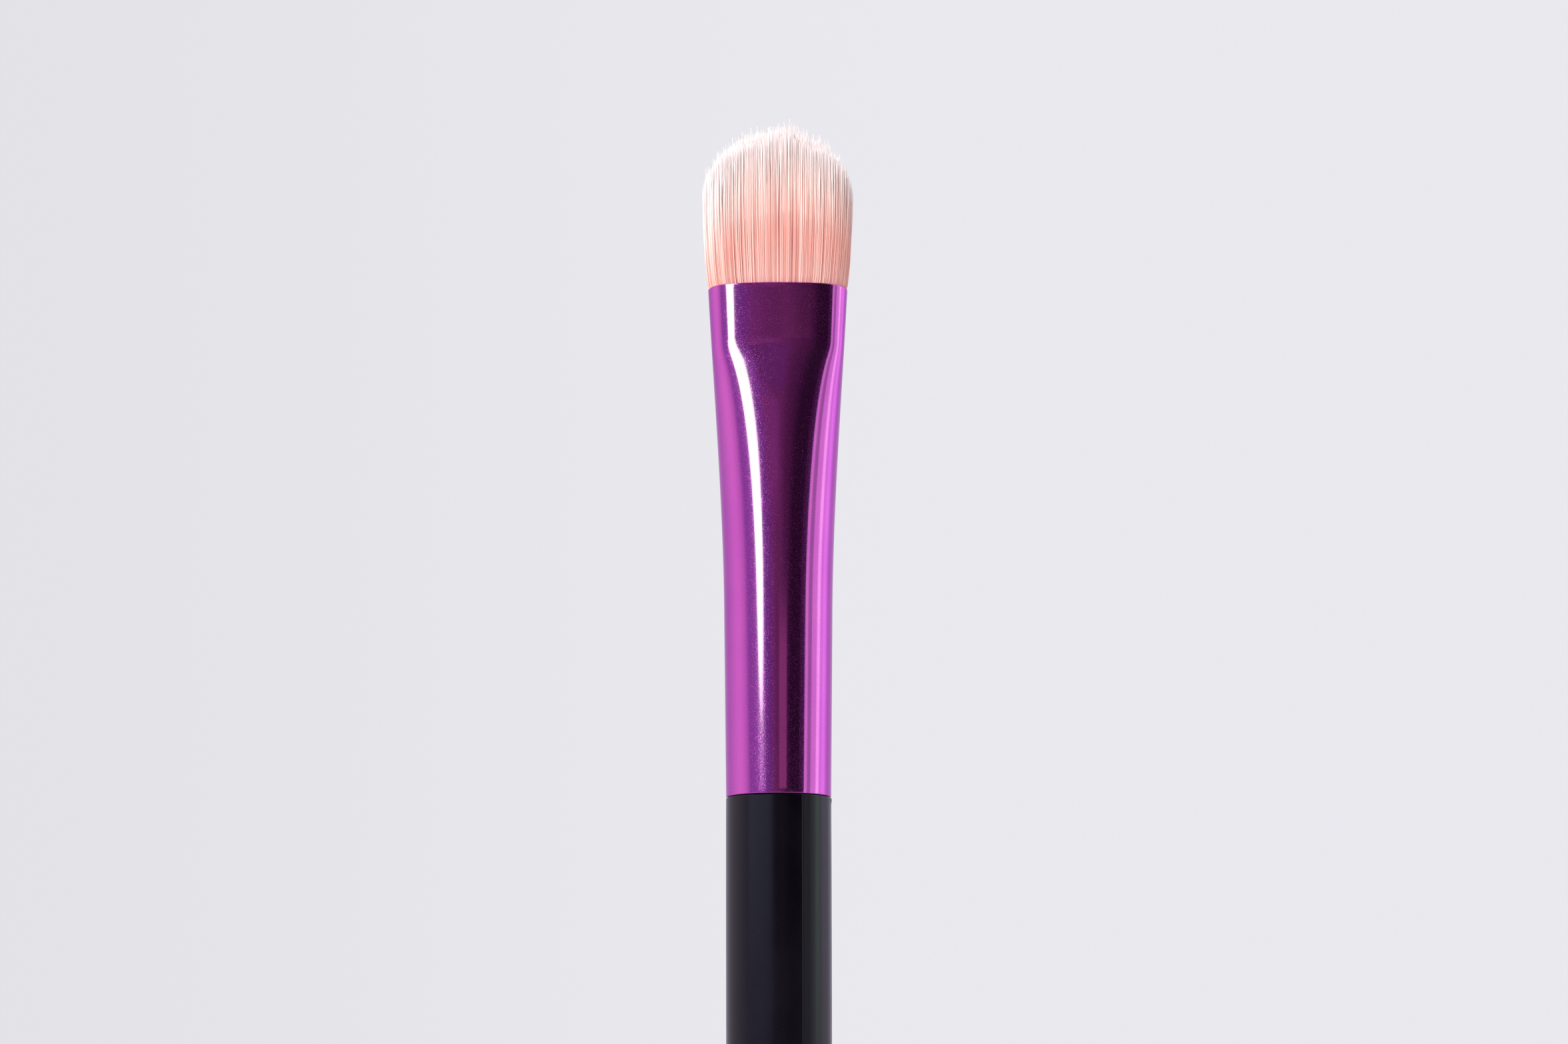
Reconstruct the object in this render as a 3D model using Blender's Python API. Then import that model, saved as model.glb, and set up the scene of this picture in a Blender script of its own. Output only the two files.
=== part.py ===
"""Concealer brush: a flat, round-topped tuft in a flattened aluminium ferrule on a moulded handle.

Metres, +Z up. The brush stands on its tail with its broad face towards -Y. The origin is the centre
of the small flat on the tail. The pieces are the handle with its tenon, the glue round the tenon,
the ferrule, the glue plug that holds the bristle roots, and the bristle tuft.
"""

import math
import random

import bmesh
import bpy
from mathutils import Vector

# Main lengths, from the tail up
HANDLE_LENGTH = 0.1175
SEAM_GAP = 0.00006
FERRULE_LENGTH = 0.0398
TUFT_LENGTH = 0.0137

# Ferrule, a drawn tube that is swaged wide and nipped flat at its mouth
TUBE_DIAMETER = 0.0080
TUBE_WALL = 0.00035
MOUTH_WIDTH = 0.01092
MOUTH_THICKNESS = 0.0050
CREASE_THICKNESS = 0.0046
MOUTH_CROWN_ANGLE = math.radians(5)
ROUND_END_CROWN_ANGLE = math.radians(45)
COLLAR_HEIGHT = 0.0052
NIP_REACH = 0.0032
CROWN_REACH = 0.0200
RIM_ROUND = 0.00014
HEM_ROUND = 0.00010

# How the ferrule widens on the way up, as shares of its length or of the change, and its soft crease
TAPER_SHARE = 0.32
SWAGE_START_SHARE = 0.36
SWAGE_END_SHARE = 1.27
CREASE_SOFTNESS_SHARE = 0.28

# Handle, below the seam, flush with the tube
BODY_DIAMETER = TUBE_DIAMETER
STRAIGHT_LENGTH = 0.0020
TAIL_DIAMETER = 0.0056
TAIL_DOME_HEIGHT = 0.0032
TAIL_FLAT_DIAMETER = 0.0018
SHOULDER_ROUND = 0.00010

# Tenon of the handle, inside the ferrule, with a spigot at its foot that centres the tube
TENON_LENGTH = 0.0140
SPIGOT_HEIGHT = 0.0010
TENON_LEAD_IN = 0.0006
GROOVE_COUNT = 3
GROOVE_WIDTH = 0.0014
GROOVE_DEPTH = 0.00035
GROOVE_FLANK = 0.0004

# Glue
GLUE_CLEARANCE = 0.00006
GLUE_THICKNESS = 0.0005
PLUG_HEIGHT = 0.0090
PLUG_MENISCUS = 0.0008

# Tuft
ROOT_SLICE_TOP_DEPTH = 0.0008
ROOT_SLICE_HEIGHT = 0.0012
STRAND_PITCH = 0.00035
STRAND_DIAMETER = 0.00025
STRAND_ROOT_DEPTH = 0.0005
TUFT_WIDTH = 0.0118
TUFT_THICKNESS = 0.0056
TUFT_TIP_THICKNESS = 0.0028
SIDE_STRAND_LENGTH = 0.0079
FACE_STRAND_DROP = 0.0018
TIP_SCATTER = 0.0003

# The tuft's swell: heights as shares of a side strand, and how much of the full width is reached there
SWELL_HEIGHT_SHARES = (0.0, 0.22, 0.70)
SWELL_SHARES = (0.0, 0.47, 1.0)
TIP_WIDTH_SHARE = 0.97

# Facets and stations, and the distance within which turned points on the axis are merged
MERGE_DISTANCE = 0.00002
FACE_SEGMENTS = 8
END_SEGMENTS = 14
TURNED_SEGMENTS = 44
ROUND_SEGMENTS = 3
FERRULE_STATIONS = 14
TAPER_STATIONS = 12
DOME_SEGMENTS = 5
STRAND_SIDES = 3
SEED = 7

TAU = 2 * math.pi
RIGHT_ANGLE = math.pi / 2

FERRULE_BOTTOM = HANDLE_LENGTH + SEAM_GAP
FERRULE_TOP = FERRULE_BOTTOM + FERRULE_LENGTH
CREASE = FERRULE_TOP - COLLAR_HEIGHT
SPIGOT_TOP = HANDLE_LENGTH + SPIGOT_HEIGHT
TENON_TOP = HANDLE_LENGTH + TENON_LENGTH
SPIGOT_RADIUS = TUBE_DIAMETER / 2 - TUBE_WALL - GLUE_CLEARANCE
TENON_RADIUS = TUBE_DIAMETER / 2 - TUBE_WALL - GLUE_THICKNESS


def smoothstep(share):
    """An S curve from 0 to 1, level at both ends."""
    share = min(max(share, 0.0), 1.0)
    return share * share * (3 - 2 * share)


def mix(first, second, share):
    return first + (second - first) * share


def soft_least(first, second, softness):
    """The lesser of two numbers, rounded off where they meet."""
    overlap = max(softness - abs(first - second), 0.0) / softness
    return min(first, second) - overlap * overlap * softness / 4


def ferrule_share(z):
    """How far up the ferrule a height is, from 0 at its hem to 1 at its mouth."""
    return min(max((z - FERRULE_BOTTOM) / FERRULE_LENGTH, 0.0), 1.0)


def swage(share):
    return smoothstep((share - SWAGE_START_SHARE) / (SWAGE_END_SHARE - SWAGE_START_SHARE))


def flare(share):
    """A slow drawn taper, and on it the S curve of the swage, which is still opening at the mouth."""
    return TAPER_SHARE * share + (1 - TAPER_SHARE) * swage(share) / swage(1)


def nip(z):
    """How far the tube is pressed flat: wholly in the collar, and dying away below its soft crease."""
    return soft_least(math.exp((z - CREASE) / NIP_REACH), 1.0, CREASE_SOFTNESS_SHARE)


def pressed_thickness(z):
    """The thickness that the press gives: least at the crease, opening a little towards the mouth."""
    return mix(CREASE_THICKNESS, MOUTH_THICKNESS, max(z - CREASE, 0.0) / COLLAR_HEIGHT)


class Oval:
    """A four-arc oval: two broad face arcs and two tight end arcs that meet in a common tangent.

    With half width a, half thickness b and c the half angle of a face arc, the face radius less the
    end radius is (a - b) / (sin c + cos c - 1).
    """

    def __init__(self, half_width, half_thickness, crown_angle):
        spread = math.sin(crown_angle) + math.cos(crown_angle) - 1
        self.radius_step = (half_width - half_thickness) / spread
        self.end_radius = half_width - self.radius_step * math.sin(crown_angle)
        self.crown_angle = crown_angle

    def point(self, angle, inset, z):
        """The point whose outward normal lies at this angle from +X, moved in by the inset."""
        x = math.cos(angle) * (self.end_radius - inset)
        y = math.sin(angle) * (self.end_radius - inset)
        from_face_middle = abs(abs(angle) - RIGHT_ANGLE)
        if from_face_middle < self.crown_angle:
            x += self.radius_step * math.cos(angle)
            rise = math.sin(abs(angle)) - math.cos(self.crown_angle)
            y += self.radius_step * math.copysign(rise, angle)
        else:
            x += self.radius_step * math.copysign(math.sin(self.crown_angle), math.cos(angle))
        return Vector((x, y, z))

    def angles(self):
        """The facets' normal angles from -180 to 180 degrees, in even steps over each arc."""
        half_end = RIGHT_ANGLE - self.crown_angle
        arcs = (
            (-math.pi, half_end, END_SEGMENTS // 2),
            (-math.pi + half_end, 2 * self.crown_angle, FACE_SEGMENTS),
            (-half_end, 2 * half_end, END_SEGMENTS),
            (half_end, 2 * self.crown_angle, FACE_SEGMENTS),
            (math.pi - half_end, half_end, END_SEGMENTS // 2),
        )
        return [start + sweep * step / count for start, sweep, count in arcs for step in range(count)]

    def ring(self, inset, z):
        return [self.point(angle, inset, z) for angle in self.angles()]

    def holds(self, x, y, inset):
        """Whether a point lies inside the oval moved in by the inset."""
        return self.reach(math.atan2(y, x), inset) > math.hypot(x, y)

    def reach(self, bearing, inset):
        """The oval's distance from its centre at a bearing, read from its ring's facets."""
        ring = self.ring(inset, 0.0)
        along = Vector((math.cos(bearing), math.sin(bearing), 0.0))
        across = Vector((-along.y, along.x, 0.0))
        for first, second in zip(ring, ring[1:] + ring[:1]):
            before = first.dot(across)
            after = second.dot(across)
            if before <= 0 < after and first.dot(along) + second.dot(along) > 0:
                return first.lerp(second, before / (before - after)).dot(along)
        return 0.0


def ferrule_section(z):
    half_width = mix(TUBE_DIAMETER, MOUTH_WIDTH, flare(ferrule_share(z))) / 2
    half_thickness = mix(TUBE_DIAMETER, pressed_thickness(z), nip(z)) / 2
    # The faces flatten as the tube is pressed, and the flattening reaches further down than the nip.
    crown_share = nip(z) ** (NIP_REACH / CROWN_REACH)
    crown_angle = mix(ROUND_END_CROWN_ANGLE, MOUTH_CROWN_ANGLE, crown_share)
    return Oval(half_width, half_thickness, crown_angle)


def bore_ring(z, clearance):
    """A ring that follows the ferrule's inner wall at a clearance."""
    return ferrule_section(z).ring(TUBE_WALL + clearance, z)


def turned_ring(radius, z):
    steps = (TAU * step / TURNED_SEGMENTS for step in range(TURNED_SEGMENTS))
    return [Vector((radius * math.cos(angle), radius * math.sin(angle), z)) for angle in steps]


def finish_mesh(name, mesh, material):
    mesh.shade_smooth()
    mesh.set_sharp_from_angle(angle=math.radians(35))
    mesh.materials.append(material)
    made = bpy.data.objects.new(name, mesh)
    bpy.context.scene.collection.objects.link(made)
    return made


def loft(name, rings, material, is_tube):
    """A skin over rings of equal count, closed on itself for a tube or by two flat ends for a solid."""
    count = len(rings[0])
    pairs = len(rings) if is_tube else len(rings) - 1
    faces = []
    for lower in range(pairs):
        upper = (lower + 1) % len(rings)
        for step in range(count):
            after = (step + 1) % count
            low_edge = (lower * count + step, lower * count + after)
            high_edge = (upper * count + after, upper * count + step)
            faces.append(low_edge + high_edge)
    if not is_tube:
        last = (len(rings) - 1) * count
        faces.append(tuple(reversed(range(count))))
        faces.append(tuple(range(last, last + count)))
    mesh = bpy.data.meshes.new(name)
    mesh.from_pydata([point for ring in rings for point in ring], [], faces)
    return finish_mesh(name, mesh, material)


def plain_material(name, colour, roughness, metallic):
    material = bpy.data.materials.new(name)
    material.use_nodes = True
    shader = material.node_tree.nodes["Principled BSDF"]
    shader.inputs["Base Color"].default_value = (*colour, 1.0)
    shader.inputs["Roughness"].default_value = roughness
    shader.inputs["Metallic"].default_value = metallic
    material.diffuse_color = (*colour, 1.0)
    return material


def quarter_round(radius):
    """Steps of a quarter turn as (inset, drop) pairs, from the side of an edge to its end face."""
    turns = (RIGHT_ANGLE * step / ROUND_SEGMENTS for step in range(ROUND_SEGMENTS + 1))
    return [(radius * (1 - math.cos(turn)), radius * (1 - math.sin(turn))) for turn in turns]


def ferrule_heights():
    """The stations between the two rounded ends, closer together towards the crease of the collar."""
    low = FERRULE_BOTTOM + HEM_ROUND
    high = FERRULE_TOP - RIM_ROUND
    softened = NIP_REACH * CREASE_SOFTNESS_SHARE
    shares = (math.sin(RIGHT_ANGLE * step / FERRULE_STATIONS) for step in range(1, FERRULE_STATIONS + 1))
    heights = [mix(low, CREASE - softened, share) for share in shares]
    heights += [CREASE, CREASE + softened, mix(CREASE, high, 0.5)]
    return heights


def build_ferrule(material):
    """The outer skin runs up from the hem to the rim, over it and down the bore."""
    hem = quarter_round(HEM_ROUND)
    rim = quarter_round(RIM_ROUND)
    heights = ferrule_heights()
    outer = [(inset, FERRULE_BOTTOM + rise) for inset, rise in reversed(hem)]
    outer += [(0.0, z) for z in heights]
    outer += [(inset, FERRULE_TOP - drop) for inset, drop in rim]
    inner = [(TUBE_WALL - inset, FERRULE_TOP - drop) for inset, drop in reversed(rim)]
    inner += [(TUBE_WALL, z) for z in reversed(heights)]
    inner.append((TUBE_WALL, FERRULE_BOTTOM))
    rings = [ferrule_section(z).ring(inset, z) for inset, z in outer + inner]
    return loft("ferrule", rings, material, is_tube=True)


def handle_radius(z):
    """The visible handle's radius: a tail that swells slowly into the straight part below the ferrule."""
    taper_end = HANDLE_LENGTH - STRAIGHT_LENGTH
    share = (z - TAIL_DOME_HEIGHT) / (taper_end - TAIL_DOME_HEIGHT)
    eased = math.sin(RIGHT_ANGLE * min(max(share, 0.0), 1.0))
    return mix(TAIL_DIAMETER, BODY_DIAMETER, eased) / 2


def tail_outline():
    """The dome from the flat up: an ellipse arc that starts at the flat's rim and ends upright."""
    flat_share = TAIL_FLAT_DIAMETER / TAIL_DIAMETER
    start = math.asin(flat_share)
    top_of_arc = math.cos(start)
    points = []
    for step in range(DOME_SEGMENTS + 1):
        turn = mix(start, RIGHT_ANGLE, step / DOME_SEGMENTS)
        height = TAIL_DOME_HEIGHT * (1 - math.cos(turn) / top_of_arc)
        points.append((TAIL_DIAMETER / 2 * math.sin(turn), height))
    return points


def body_outline():
    taper_end = HANDLE_LENGTH - STRAIGHT_LENGTH
    steps = range(1, TAPER_STATIONS + 1)
    heights = [mix(TAIL_DOME_HEIGHT, taper_end, step / TAPER_STATIONS) for step in steps]
    points = [(handle_radius(z), z) for z in heights]
    edge = quarter_round(SHOULDER_ROUND)
    points += [(BODY_DIAMETER / 2 - inset, HANDLE_LENGTH - drop) for inset, drop in edge]
    return points


def groove_bottoms():
    """The lower edge of each glue groove, spaced evenly over the tenon's straight part."""
    free = TENON_TOP - TENON_LEAD_IN - SPIGOT_TOP - GROOVE_COUNT * GROOVE_WIDTH
    land = free / (GROOVE_COUNT + 1)
    return [SPIGOT_TOP + land + number * (land + GROOVE_WIDTH) for number in range(GROOVE_COUNT)]


def tenon_outline():
    """The grooved side of the tenon, from the spigot up to the edge of its lead-in."""
    points = []
    for bottom in groove_bottoms():
        points.append((TENON_RADIUS, bottom))
        points.append((TENON_RADIUS - GROOVE_DEPTH, bottom + GROOVE_FLANK))
        points.append((TENON_RADIUS - GROOVE_DEPTH, bottom + GROOVE_WIDTH - GROOVE_FLANK))
        points.append((TENON_RADIUS, bottom + GROOVE_WIDTH))
    points.append((TENON_RADIUS, TENON_TOP - TENON_LEAD_IN))
    return points


def revolve(name, outline, material):
    """Turns an outline of (radius, height), given from the tail up, with the Screw modifier."""
    mesh = bpy.data.meshes.new(name)
    turned = [(0.0, outline[0][1]), *outline, (0.0, outline[-1][1])]
    points = [(radius, 0.0, z) for radius, z in reversed(turned)]
    mesh.from_pydata(points, [(index, index + 1) for index in range(len(points) - 1)], [])
    made = finish_mesh(name, mesh, material)
    screw = made.modifiers.new("revolve", "SCREW")
    screw.steps = TURNED_SEGMENTS
    screw.render_steps = TURNED_SEGMENTS
    screw.use_merge_vertices = True
    screw.merge_threshold = MERGE_DISTANCE
    screw.use_smooth_shade = True
    return made


def build_handle(material):
    outline = tail_outline() + body_outline()
    outline += [(SPIGOT_RADIUS, HANDLE_LENGTH), (SPIGOT_RADIUS, SPIGOT_TOP), (TENON_RADIUS, SPIGOT_TOP)]
    outline += tenon_outline()
    outline.append((TENON_RADIUS - TENON_LEAD_IN / 2, TENON_TOP))
    return revolve("handle", outline, material)


def build_handle_glue(material):
    """The sleeve between tenon and ferrule: its bore keys into the tenon's grooves."""
    inner = [(radius + GLUE_CLEARANCE, z) for radius, z in tenon_outline()]
    bottom = SPIGOT_TOP + GLUE_CLEARANCE
    top = TENON_TOP - TENON_LEAD_IN
    middle = mix(bottom, top, 0.5)
    inner.insert(0, (inner[0][0], bottom))
    inset = TUBE_WALL + GLUE_CLEARANCE
    angles = [math.remainder(TAU * step / TURNED_SEGMENTS, TAU) for step in range(TURNED_SEGMENTS)]
    rings = []
    for z in (bottom, middle, top):
        section = ferrule_section(z)
        rings.append([section.point(angle, inset, z) for angle in angles])
    rings += [turned_ring(radius, z) for radius, z in reversed(inner)]
    return loft("handle_glue", rings, material, is_tube=True)


def heights_between(low, high):
    """Two heights with the ferrule's stations between them, so that a filling follows its facets."""
    inside = (z for z in ferrule_heights() if low + GLUE_CLEARANCE < z < high - GLUE_CLEARANCE)
    return [low, *inside, high]


def slice_top():
    return FERRULE_TOP - ROOT_SLICE_TOP_DEPTH


def slice_bottom():
    return slice_top() - ROOT_SLICE_HEIGHT


def shrunk(ring, share, z):
    return [Vector((point.x * share, point.y * share, z)) for point in ring]


def build_root_plug(material):
    """The glue that the bristle roots are set in, with a dished lower face where it crept up the wall."""
    top = slice_bottom() - GLUE_CLEARANCE
    bottom = top - PLUG_HEIGHT
    hem = bore_ring(bottom, GLUE_CLEARANCE)
    dish = [
        shrunk(hem, 0.45, bottom + PLUG_MENISCUS),
        shrunk(hem, 0.80, bottom + PLUG_MENISCUS * 0.6),
        hem,
    ]
    side = [bore_ring(z, GLUE_CLEARANCE) for z in heights_between(bottom, top)[1:]]
    return loft("root_glue_plug", dish + side, material, is_tube=False)


def swell_heights():
    """The heights above the mouth that every strand has a ring at."""
    return [share * SIDE_STRAND_LENGTH for share in SWELL_HEIGHT_SHARES]


def tuft_scale(height):
    """The tuft's width and thickness at a height above the mouth, over those of its bundled roots."""
    bundle = ferrule_section(slice_top())
    inset = TUBE_WALL + GLUE_CLEARANCE + STRAND_DIAMETER / 2
    bundle_width = 2 * bundle.point(0.0, inset, 0.0).x
    bundle_thickness = 2 * bundle.point(RIGHT_ANGLE, inset, 0.0).y
    full_width = (TUFT_WIDTH - STRAND_DIAMETER) / bundle_width
    full_thickness = (TUFT_THICKNESS - STRAND_DIAMETER) / bundle_thickness
    heights = swell_heights()
    if height <= heights[0]:
        return 1.0, 1.0
    for low, high, start, end in zip(heights, heights[1:], SWELL_SHARES, SWELL_SHARES[1:]):
        if height <= high:
            share = mix(start, end, (height - low) / (high - low))
            return mix(1.0, full_width, share), mix(1.0, full_thickness, share)
    share = (height - heights[-1]) / (TUFT_LENGTH - heights[-1])
    tip_thickness = TUFT_TIP_THICKNESS / bundle_thickness
    return mix(full_width, full_width * TIP_WIDTH_SHARE, share), mix(full_thickness, tip_thickness, share)


def strand_places(oval, inset):
    """Root places on a hexagonal grid, kept where the whole strand fits inside the bundle."""
    row_step = STRAND_PITCH * math.sin(math.radians(60))
    half_rows = int(TUBE_DIAMETER / row_step)
    half_columns = int(MOUTH_WIDTH / STRAND_PITCH)
    places = []
    for row in range(-half_rows, half_rows + 1):
        shift = STRAND_PITCH / 2 * (row % 2)
        for column in range(-half_columns, half_columns + 1):
            x = column * STRAND_PITCH + shift
            y = row * row_step
            if oval.holds(x, y, inset):
                places.append((x, y))
    return places


def strand_length(x, y, oval, inset):
    """The dome: strands are longest in the middle and shorten towards the sides and the faces."""
    side_share = min(abs(x) / oval.point(0.0, inset, 0.0).x, 1.0)
    face_share = min(abs(y) / oval.point(RIGHT_ANGLE, inset, 0.0).y, 1.0)
    dome = math.sqrt(1 - side_share * side_share)
    return mix(SIDE_STRAND_LENGTH, TUFT_LENGTH, dome) - FACE_STRAND_DROP * face_share * face_share


def add_strand(mesh, x, y, length, turn):
    """One strand: rings at the heights that all strands share, so that none cross, and its own tip."""
    rings = []
    for height in (-ROOT_SLICE_TOP_DEPTH - STRAND_ROOT_DEPTH, *swell_heights()):
        scale_x, scale_y = tuft_scale(height)
        ring = []
        for side in range(STRAND_SIDES):
            angle = turn + TAU * side / STRAND_SIDES
            centre = Vector((x * scale_x, y * scale_y, FERRULE_TOP + height))
            spoke = Vector((math.cos(angle), math.sin(angle), 0.0)) * STRAND_DIAMETER / 2
            ring.append(mesh.verts.new(centre + spoke))
        rings.append(ring)
    scale_x, scale_y = tuft_scale(length)
    tip = mesh.verts.new((x * scale_x, y * scale_y, FERRULE_TOP + length))
    mesh.faces.new(reversed(rings[0]))
    for side in range(STRAND_SIDES):
        after = (side + 1) % STRAND_SIDES
        for lower, upper in zip(rings, rings[1:]):
            mesh.faces.new((lower[side], lower[after], upper[after], upper[side]))
        mesh.faces.new((rings[-1][side], rings[-1][after], tip))


def build_strands(material):
    """All strands as one helper mesh, which the tuft's root slice takes in."""
    chance = random.Random(SEED)
    oval = ferrule_section(slice_top())
    wall_inset = TUBE_WALL + GLUE_CLEARANCE
    mesh = bmesh.new()
    places = strand_places(oval, wall_inset + STRAND_DIAMETER / 2)
    print(f"The tuft has {len(places)} strands")
    for x, y in places:
        length = strand_length(x, y, oval, wall_inset) - TIP_SCATTER * chance.random()
        add_strand(mesh, x, y, length, chance.random() * TAU)
    data = bpy.data.meshes.new("strands")
    mesh.to_mesh(data)
    mesh.free()
    strands = finish_mesh("strands", data, material)
    strands.hide_render = True
    strands.display_type = "WIRE"
    return strands


def build_tuft(material):
    """A slice of bonded roots inside the mouth, with every strand fused to it."""
    rings = [bore_ring(z, GLUE_CLEARANCE) for z in (slice_bottom(), slice_top())]
    tuft = loft("bristle_tuft", rings, material, is_tube=False)
    union = tuft.modifiers.new("strands", "BOOLEAN")
    union.operation = "UNION"
    union.solver = "EXACT"
    union.object = build_strands(material)
    return tuft


def main():
    for old in list(bpy.data.objects):
        bpy.data.objects.remove(old)
    handle_plastic = plain_material("handle_plastic", (0.012, 0.012, 0.014), 0.45, 0.0)
    anodised = plain_material("anodised_aluminium", (0.33, 0.05, 0.36), 0.18, 1.0)
    epoxy = plain_material("epoxy", (0.62, 0.50, 0.27), 0.35, 0.0)
    bristle = plain_material("bristle_fibre", (0.86, 0.45, 0.36), 0.55, 0.0)
    build_handle(handle_plastic)
    build_handle_glue(epoxy)
    build_ferrule(anodised)
    build_root_plug(epoxy)
    build_tuft(bristle)


main()
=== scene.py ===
"""The looks of a concealer brush: its filaments, ferrule and handle, and a plain studio round them.

Everything is in metres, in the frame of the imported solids: +Z up the brush, +X across the wide way of
the flattened mouth, and -Y out of the broad face that the camera sees. Azimuths here are degrees round
+Z, 0 towards the camera and positive towards +X.
"""

import logging
import math
from dataclasses import dataclass, field
from enum import Enum

import bpy
import numpy as np
from mathutils import Euler, Matrix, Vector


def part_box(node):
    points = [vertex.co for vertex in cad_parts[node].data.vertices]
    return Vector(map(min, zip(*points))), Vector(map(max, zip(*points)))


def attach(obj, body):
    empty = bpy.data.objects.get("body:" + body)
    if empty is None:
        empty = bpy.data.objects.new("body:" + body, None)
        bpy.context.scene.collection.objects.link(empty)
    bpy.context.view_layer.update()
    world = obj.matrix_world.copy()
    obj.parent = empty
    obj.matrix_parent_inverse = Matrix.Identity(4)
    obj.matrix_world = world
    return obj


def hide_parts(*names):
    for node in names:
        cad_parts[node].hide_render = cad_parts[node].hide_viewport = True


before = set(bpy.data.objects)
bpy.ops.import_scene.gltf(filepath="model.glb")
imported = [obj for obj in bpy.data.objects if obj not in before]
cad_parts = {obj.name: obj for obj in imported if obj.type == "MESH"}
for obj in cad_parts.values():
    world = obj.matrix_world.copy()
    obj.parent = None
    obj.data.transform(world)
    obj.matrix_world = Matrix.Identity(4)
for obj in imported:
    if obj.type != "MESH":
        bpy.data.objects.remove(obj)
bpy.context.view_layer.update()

LOG = logging.getLogger("concealer_brush")
MM = 0.001
SEAM_GAP = 0.06 * MM
SHARP_EDGE = math.radians(40)
IMAGE_WIDTH = 2354
FULL_TURN = 2 * math.pi
QUARTER_TURN = math.pi / 2
STRAND_MAP = "strand"

# The Mix node's colour sockets go by number, because its sockets of other types share their names.
MIX_FIRST, MIX_SECOND, MIX_RESULT = 6, 7, 2

Value = np.ndarray | float
Range = tuple[float, float]
Triple = tuple[float, float, float]
Colour = Triple
Stops = tuple[tuple[float, Colour], ...]
Socket = bpy.types.NodeSocket


class Node(Enum):
    """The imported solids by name."""

    HANDLE = "handle"
    HANDLE_GLUE = "handle_glue"
    FERRULE = "ferrule"
    ROOT_PLUG = "root_glue_plug"
    TUFT = "bristle_tuft"


class Slot(Enum):
    """The record's material slots."""

    PLASTIC = "handle_plastic"
    ALUMINIUM = "anodised_aluminium"
    EPOXY = "epoxy"
    FIBRE = "bristle_fibre"


class Half(Enum):
    """Which face of the tuft a filament belongs to, by the sign of its place along Y."""

    FRONT = -1
    BACK = 1


def smoothstep(share: Value) -> Value:
    """An S curve from 0 to 1, level at both ends: three squares less two cubes of the share."""
    kept = np.clip(share, 0.0, 1.0)
    return kept * kept * (3 - 2 * kept)


def mix(first: Value, second: Value, share: Value) -> Value:
    """The first value plus the share of the way to the second."""
    return first + (second - first) * share


def soft_least(first: np.ndarray, second: float, softness: float) -> np.ndarray:
    """The lesser of two values, rounded off where they meet.

    Args:
        first: Values that rise past the second.
        second: The value that they are held to.
        softness: How far apart they are where the rounding starts.

    Returns:
        The lesser value, less a quarter of the softness times the square of the overlap.
    """
    overlap = np.maximum(softness - np.abs(first - second), 0.0) / softness
    return np.minimum(first, second) - overlap * overlap * softness / 4


def grid_quads(rows: int, columns: int, wrap_rows: bool) -> np.ndarray:
    """Faces between neighbouring points of a grid whose columns close on themselves.

    Args:
        rows: How many rings of points there are.
        columns: How many points each ring has.
        wrap_rows: Whether the last ring also joins the first.

    Returns:
        One row of four point numbers for each face, turned so that a ring that runs anticlockwise
        from above, with rows going up, faces outwards.
    """
    row = np.arange(rows if wrap_rows else rows - 1)[:, None]
    column = np.arange(columns)[None, :]
    row_after = (row + 1) % rows
    column_after = (column + 1) % columns
    corners = (
        row * columns + column,
        row * columns + column_after,
        row_after * columns + column_after,
        row_after * columns + column,
    )
    return np.stack([corner.reshape(-1) for corner in corners], axis=1)


def fan(ring_start: int, columns: int, pole: int, upward: bool) -> np.ndarray:
    """Triangles that close one ring of points at a pole.

    Args:
        ring_start: The number of the ring's first point.
        columns: How many points the ring has.
        pole: The number of the pole's point.
        upward: Whether the cap faces up.

    Returns:
        One row of three point numbers for each triangle.
    """
    steps = np.arange(columns)
    here = ring_start + steps
    after = ring_start + (steps + 1) % columns
    middle = np.full(columns, pole)
    return np.stack((here, after, middle) if upward else (after, here, middle), axis=1)


def ramp_place(azimuth: float) -> float:
    """Where an azimuth in degrees lies on a ramp that starts and ends straight behind the brush."""
    return azimuth / 360.0 + 0.5


def put(name: str, data: bpy.types.ID) -> bpy.types.Object:
    """Makes an object of a mesh, lamp or camera.

    Args:
        name: The object's name.
        data: What it holds.

    Returns:
        The new object, linked to the scene.
    """
    thing = bpy.data.objects.new(name, data)
    bpy.context.scene.collection.objects.link(thing)
    return thing


def make_piece(
    name: str, points: np.ndarray, faces: list[np.ndarray], smooth: bool = True
) -> bpy.types.Object:
    """Puts computed points and faces into a mesh object at the origin.

    Args:
        name: The piece's name.
        points: The points, one row of x, y and z each.
        faces: Arrays of point numbers, each with one row for each face.
        smooth: Whether it is shaded smooth, but for its sharp edges.

    Returns:
        The new object, linked to the scene.
    """
    mesh = bpy.data.meshes.new(name)
    corners = [face for array in faces for face in array.tolist()]
    mesh.from_pydata(points.reshape(-1, 3).tolist(), [], corners)
    if smooth:
        mesh.shade_smooth()
        mesh.set_sharp_from_angle(angle=SHARP_EDGE)
    return put(name, mesh)


def dress(piece: bpy.types.Object, material: bpy.types.Material, slot: Slot, *stands_for: Node) -> None:
    """Gives a piece its looks and its place in the record.

    Args:
        piece: The piece.
        material: Its material.
        slot: Not used.
        stands_for: The solids that it replaces.
    """
    piece.data.materials.clear()
    piece.data.materials.append(material)
    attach(piece, "root")
    if stands_for:
        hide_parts(*(node.value for node in stands_for))
    LOG.info("%s: %d points, %d faces", piece.name, len(piece.data.vertices), len(piece.data.polygons))


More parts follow.
